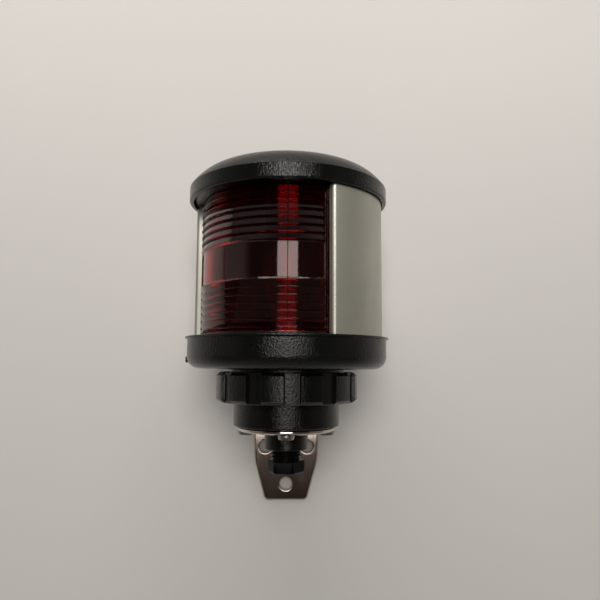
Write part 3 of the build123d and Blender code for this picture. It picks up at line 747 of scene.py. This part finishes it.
def bracket_plate():
    """Bracket cut flat from sheet with rounded edges, then bent over a small radius."""
    thick = 2.0
    edge = 0.95
    shelf_r = 20.9
    neck_half, taper_half, foot_half = 16.2, 15.7, 10.4
    taper_r, foot_r = 30.0, 2.5
    boss_hole_r, screw_hole_r = BOSS_R + 0.2, 1.9
    wall_circle_r, wall_hole_r = 12.0, 2.75
    bend = 2.0
    top = BRACKET_HIGH.z
    taper_start, taper_middle = top - 3.0, -0.4
    reach = -AXIS_Y - thick / 2 - bend
    arc = bend * math.pi / 2
    drop = top - thick / 2 - bend

    def flat_y(height):
        """Distance along the flat pattern, from the lantern's axis, of a wall-plate height."""
        return reach + arc + (drop - height)

    def hole(x, y, radius, count):
        """Outline of a round hole in the flat pattern."""
        return [(x + radius * math.cos(angle), y + radius * math.sin(angle)) for angle in circle(count)]

    neck = math.asin(neck_half / shelf_r)
    outline = []
    for step in range(97):
        angle = neck + (2 * math.pi - 2 * neck) * step / 96
        outline.append((shelf_r * math.sin(angle), shelf_r * math.cos(angle)))
    left = [
        (-neck_half, outline[-1][1] + 2, 0), (-neck_half, flat_y(taper_start), 0),
        (-taper_half, flat_y(taper_middle), taper_r), (-foot_half, flat_y(BRACKET_LOW.z), foot_r),
    ]
    right = [(-x, y, radius) for x, y, radius in reversed(left)]
    plate = outline + rounded(left + right, 8)
    holes = [hole(0.0, 0.0, boss_hole_r, 64)]
    for turn in circle(4):
        holes.append(hole(SCREW_CIRCLE_R * math.cos(turn), SCREW_CIRCLE_R * math.sin(turn), screw_hole_r, 32))
    for turn in (math.radians(30), math.radians(150), math.radians(270)):
        x = wall_circle_r * math.cos(turn)
        holes.append(hole(x, flat_y(wall_circle_r * math.sin(turn)), wall_hole_r, 48))

    curve = bpy.data.curves.new("flat_pattern", "CURVE")
    curve.dimensions = "2D"
    curve.fill_mode = "BOTH"
    curve.extrude = (thick / 2 - edge) * MM
    curve.bevel_depth = edge * MM
    curve.offset = -edge * MM
    curve.bevel_resolution = 0
    for loop in [plate] + holes:
        spline = curve.splines.new("POLY")
        spline.points.add(len(loop) - 1)
        for point, (x, y) in zip(spline.points, loop):
            point.co = (x * MM, y * MM, 0, 1)
        spline.use_cyclic_u = True
    holder = bpy.data.objects.new("flat_pattern", curve)
    bpy.context.scene.collection.objects.link(holder)
    depsgraph = bpy.context.evaluated_depsgraph_get()
    mesh = bpy.data.meshes.new_from_object(holder.evaluated_get(depsgraph))
    bpy.data.objects.remove(holder, do_unlink=True)

    maker = bmesh.new()
    maker.from_mesh(mesh)
    bmesh.ops.remove_doubles(maker, verts=maker.verts, dist=1e-6)
    steps = 14
    for step in range(steps + 1):
        line = (reach + arc * step / steps) * MM
        bmesh.ops.bisect_plane(
            maker, geom=maker.verts[:] + maker.edges[:] + maker.faces[:],
            plane_co=(0, line, 0), plane_no=(0, 1, 0), dist=1e-7,
        )
    level = top - thick / 2
    maker.normal_update()
    exact = maker.verts.layers.float_vector.new("exact")
    for vert in maker.verts:
        along = vert.co.y / MM
        above = vert.co.z / MM
        share = max(0.0, (abs(above) - thick / 2 + edge) / edge)
        side = Vector((vert.normal.x, vert.normal.y, 0.0)).normalized() * (1.0 - share)
        side.z = math.copysign(share, above)
        side.normalize()
        turn = max(0.0, min(math.pi / 2, (along - reach) / bend))
        side.rotate(Quaternion((1.0, 0.0, 0.0), -turn))
        vert[exact] = side
        if along <= reach:
            y = AXIS_Y + along
            z = level + above
        elif along <= reach + arc:
            y = AXIS_Y + reach + (bend + above) * math.sin(turn)
            z = drop + (bend + above) * math.cos(turn)
        else:
            y = -thick / 2 + above
            z = drop - (along - reach - arc)
        vert.co = Vector((vert.co.x, y * MM, z * MM))
    piece = finished("bracket_plate", maker, "mount", POLISHED, ["bracket"], 180.0)
    normals = [tuple(entry.vector) for entry in piece.data.attributes["exact"].data]
    piece.data.normals_split_custom_set_from_vertices(normals)
    piece.data.attributes.remove(piece.data.attributes["exact"])
    return piece


def contact_coil():
    """Contact spring, a copy of the CAD spring's mesh that rides on the lantern."""
    piece = bpy.data.objects.new("contact_coil", frame["nodes"]["contact_spring"].data.copy())
    bpy.context.scene.collection.objects.link(piece)
    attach(piece, "lantern")
    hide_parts("contact_spring")
    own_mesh(piece)
    return piece


dress_cad_nodes()
contact_coil()
cap_shell()
lens_optic()
shroud_sheet()
lantern_tray()
ring_grip()
mounting_cup()
gland_plug()
bracket_plate()


# ------------------------------------------------------------------- stage, one-sided
def stage_material(name, colour, tone, axis, far, fade):
    """Pale paint, seen only from its front, with painted shade: up to far along an axis, in metres, the
    colour is darkened to a given share, then lightens to full over a set length.
    """
    shader = Shader(name).set(rough=0.85, specular=0.2)
    cloud = shader.noise(3.0, detail=4.0)
    paint = shader.ramp(cloud, [(0.3, colour), (0.7, tone)])
    # painted shade: the paint is multiplied darker up to far along the axis and lightens to its full colour
    # beyond
    from_far = shader.maths("ADD", shader.split(shader.coords)[axis], -far)
    shade = shader.ramp(from_far, [(0.0, fade), (PAINTED_SHADE_LENGTH[axis], 1.0)])
    shader.colour(shader.mix(1.0, paint, shade, "MULTIPLY"))
    shader.bump(shader.noise(900.0), 0.03, 0.3)
    tree = shader.tree
    geometry = tree.nodes.new("ShaderNodeNewGeometry")
    clear = tree.nodes.new("ShaderNodeBsdfTransparent")
    mixer = tree.nodes.new("ShaderNodeMixShader")
    output = tree.nodes["Material Output"]
    tree.links.new(geometry.outputs["Backfacing"], mixer.inputs[0])
    tree.links.new(shader.bsdf.outputs[0], mixer.inputs[1])
    tree.links.new(clear.outputs[0], mixer.inputs[2])
    tree.links.new(mixer.outputs[0], output.inputs["Surface"])
    return shader.material


def stage_sheet(name, corners, material):
    """One flat sheet of the stage."""
    mesh = bpy.data.meshes.new(name)
    mesh.from_pydata(corners, [], [(0, 1, 2, 3)])
    mesh.materials.append(material)
    sheet = bpy.data.objects.new(name, mesh)
    bpy.context.scene.collection.objects.link(sheet)
    return sheet


# painted shade on the stage: the wall is painted darker towards its foot, the floor darker away from the wall
PAINTED_SHADE_LENGTH = {"Z": 0.30, "Y": 0.90}
WALL_PAINT_AND_SHADE = stage_material("wall_paint_and_shade", (0.855, 0.835, 0.81), (0.895, 0.875, 0.85), "Z", -0.10, 0.82)
FLOOR_PAINT_AND_SHADE = stage_material("floor_paint_and_shade", (0.78, 0.76, 0.74), (0.82, 0.80, 0.78), "Y", -1.0, 0.40)
WALL_GAP = 0.0004
STAGE_HALF = 2.5
FLOOR_Z = -1.2
stage_sheet("wall", [
    (-STAGE_HALF, WALL_GAP, FLOOR_Z), (STAGE_HALF, WALL_GAP, FLOOR_Z),
    (STAGE_HALF, WALL_GAP, STAGE_HALF), (-STAGE_HALF, WALL_GAP, STAGE_HALF),
], WALL_PAINT_AND_SHADE)
stage_sheet("floor", [
    (-STAGE_HALF, -STAGE_HALF, FLOOR_Z), (STAGE_HALF, -STAGE_HALF, FLOOR_Z),
    (STAGE_HALF, STAGE_HALF, FLOOR_Z), (-STAGE_HALF, STAGE_HALF, FLOOR_Z),
], FLOOR_PAINT_AND_SHADE)


# -------------------------------------------------------------------- light and camera
def soft_box(name, position, target, width, height, power):
    """Warm rectangular area light aimed at a point, in metres and watts."""
    light = bpy.data.lights.new(name, "AREA")
    light.shape = "RECTANGLE"
    light.size = width
    light.size_y = height
    light.energy = power
    light.color = WARM
    lamp = bpy.data.objects.new(name, light)
    lamp.location = position
    lamp.rotation_euler = (Vector(target) - Vector(position)).to_track_quat("-Z", "Y").to_euler()
    bpy.context.scene.collection.objects.link(lamp)
    return lamp


LANTERN = Vector((AXIS_X * MM, AXIS_Y * MM, LENS_MID * MM))
WARM = (1.0, 0.96, 0.92)
AHEAD = Vector((0.0, 1.0, 0.0))
WINDOW = LANTERN + Vector((0.0, -1.3, 0.344))
UPPER_PANE = LANTERN + Vector((0.0, -1.29, 0.47))
OVERHEAD = LANTERN + Vector((-0.06, -0.25, 0.85))
soft_box("front_window", WINDOW, WINDOW + AHEAD, 0.60, 1.14, 7.7)
soft_box("upper_pane", UPPER_PANE, UPPER_PANE + AHEAD, 0.62, 0.15, 3.0)
soft_box("overhead", OVERHEAD, LANTERN + Vector((0.0, 0.05, 0.05)), 0.7, 0.35, 4.2)


# tint of the room, redder from below; it changes over TINT_SPAN, from TINT_LOW up
ROOM_TINT = (0.93, 0.90, 0.84)
LOW_TINT = (1.0, 0.74, 0.62)
TINT_LOW, TINT_SPAN = -0.16, 0.12
# strength of the room: direction, where its change starts and ends, value before and after
ROOM_STRENGTH = (
    ("Y", -0.68, -0.42, 0.06, 0.45),
    ("Z", -0.30, -0.05, 0.12, 1.0),
    ("X", -0.95, -0.20, 0.72, 1.0),
    ("X", 0.40, 0.95, 1.0, 0.62),
    ("Z", 0.10, 0.35, 1.0, 0.60),
)


def room_light():
    """Dim room by direction alone: darkest ahead and below, dimmer overhead and at both sides."""
    world = bpy.data.worlds.new("soft_room")
    world.use_nodes = True
    tree = world.node_tree
    coords = tree.nodes.new("ShaderNodeTexCoord")
    parts = tree.nodes.new("ShaderNodeSeparateXYZ")
    tree.links.new(coords.outputs["Generated"], parts.inputs[0])
    background = tree.nodes["Background"]
    strength = None
    for axis, *values in ROOM_STRENGTH:
        span = tree.nodes.new("ShaderNodeMapRange")
        span.interpolation_type = "SMOOTHSTEP"
        for socket, value in zip(span.inputs[1:5], values):
            socket.default_value = value
        tree.links.new(parts.outputs[axis], span.inputs[0])
        product = tree.nodes.new("ShaderNodeMath")
        product.operation = "MULTIPLY"
        product.inputs[1].default_value = 1.0
        tree.links.new(span.outputs[0], product.inputs[0])
        if strength is not None:
            tree.links.new(strength, product.inputs[1])
        strength = product.outputs[0]
    tint = tree.nodes.new("ShaderNodeValToRGB")
    stops = ((0.0, LOW_TINT), (TINT_SPAN, ROOM_TINT))
    for element, (position, colour) in zip(tint.color_ramp.elements, stops):
        element.position = position
        element.color = (*colour, 1.0)
    lift = tree.nodes.new("ShaderNodeMath")
    lift.operation = "ADD"
    lift.inputs[1].default_value = -TINT_LOW
    tree.links.new(parts.outputs["Z"], lift.inputs[0])
    tree.links.new(lift.outputs[0], tint.inputs["Fac"])
    tree.links.new(tint.outputs["Color"], background.inputs["Color"])
    tree.links.new(strength, background.inputs["Strength"])
    bpy.context.scene.world = world


room_light()
bpy.context.scene.view_settings.view_transform = "Standard"

CAMERA_DISTANCE = 0.24857
CAMERA_HEIGHT = 0.0473
SENSOR_WIDTH, FOCAL_LENGTH = 36.0, 34.76
PITCH, YAW, ROLL = math.radians(6.23), math.radians(1.26), math.radians(0.35)
forward = Vector((math.sin(YAW) * math.cos(PITCH), math.cos(YAW) * math.cos(PITCH), math.sin(PITCH)))
camera_data = bpy.data.cameras.new("camera")
camera_data.sensor_width = SENSOR_WIDTH
camera_data.lens = FOCAL_LENGTH
camera = bpy.data.objects.new("camera", camera_data)
camera.location = (AXIS_X * MM, AXIS_Y * MM - CAMERA_DISTANCE, CAMERA_HEIGHT)
camera.rotation_mode = "QUATERNION"
turn = forward.to_track_quat("-Z", "Y")
turn.rotate(Quaternion(forward, -ROLL))
camera.rotation_quaternion = turn
camera_data.clip_start = 0.01
bpy.context.scene.collection.objects.link(camera)
bpy.context.scene.camera = camera
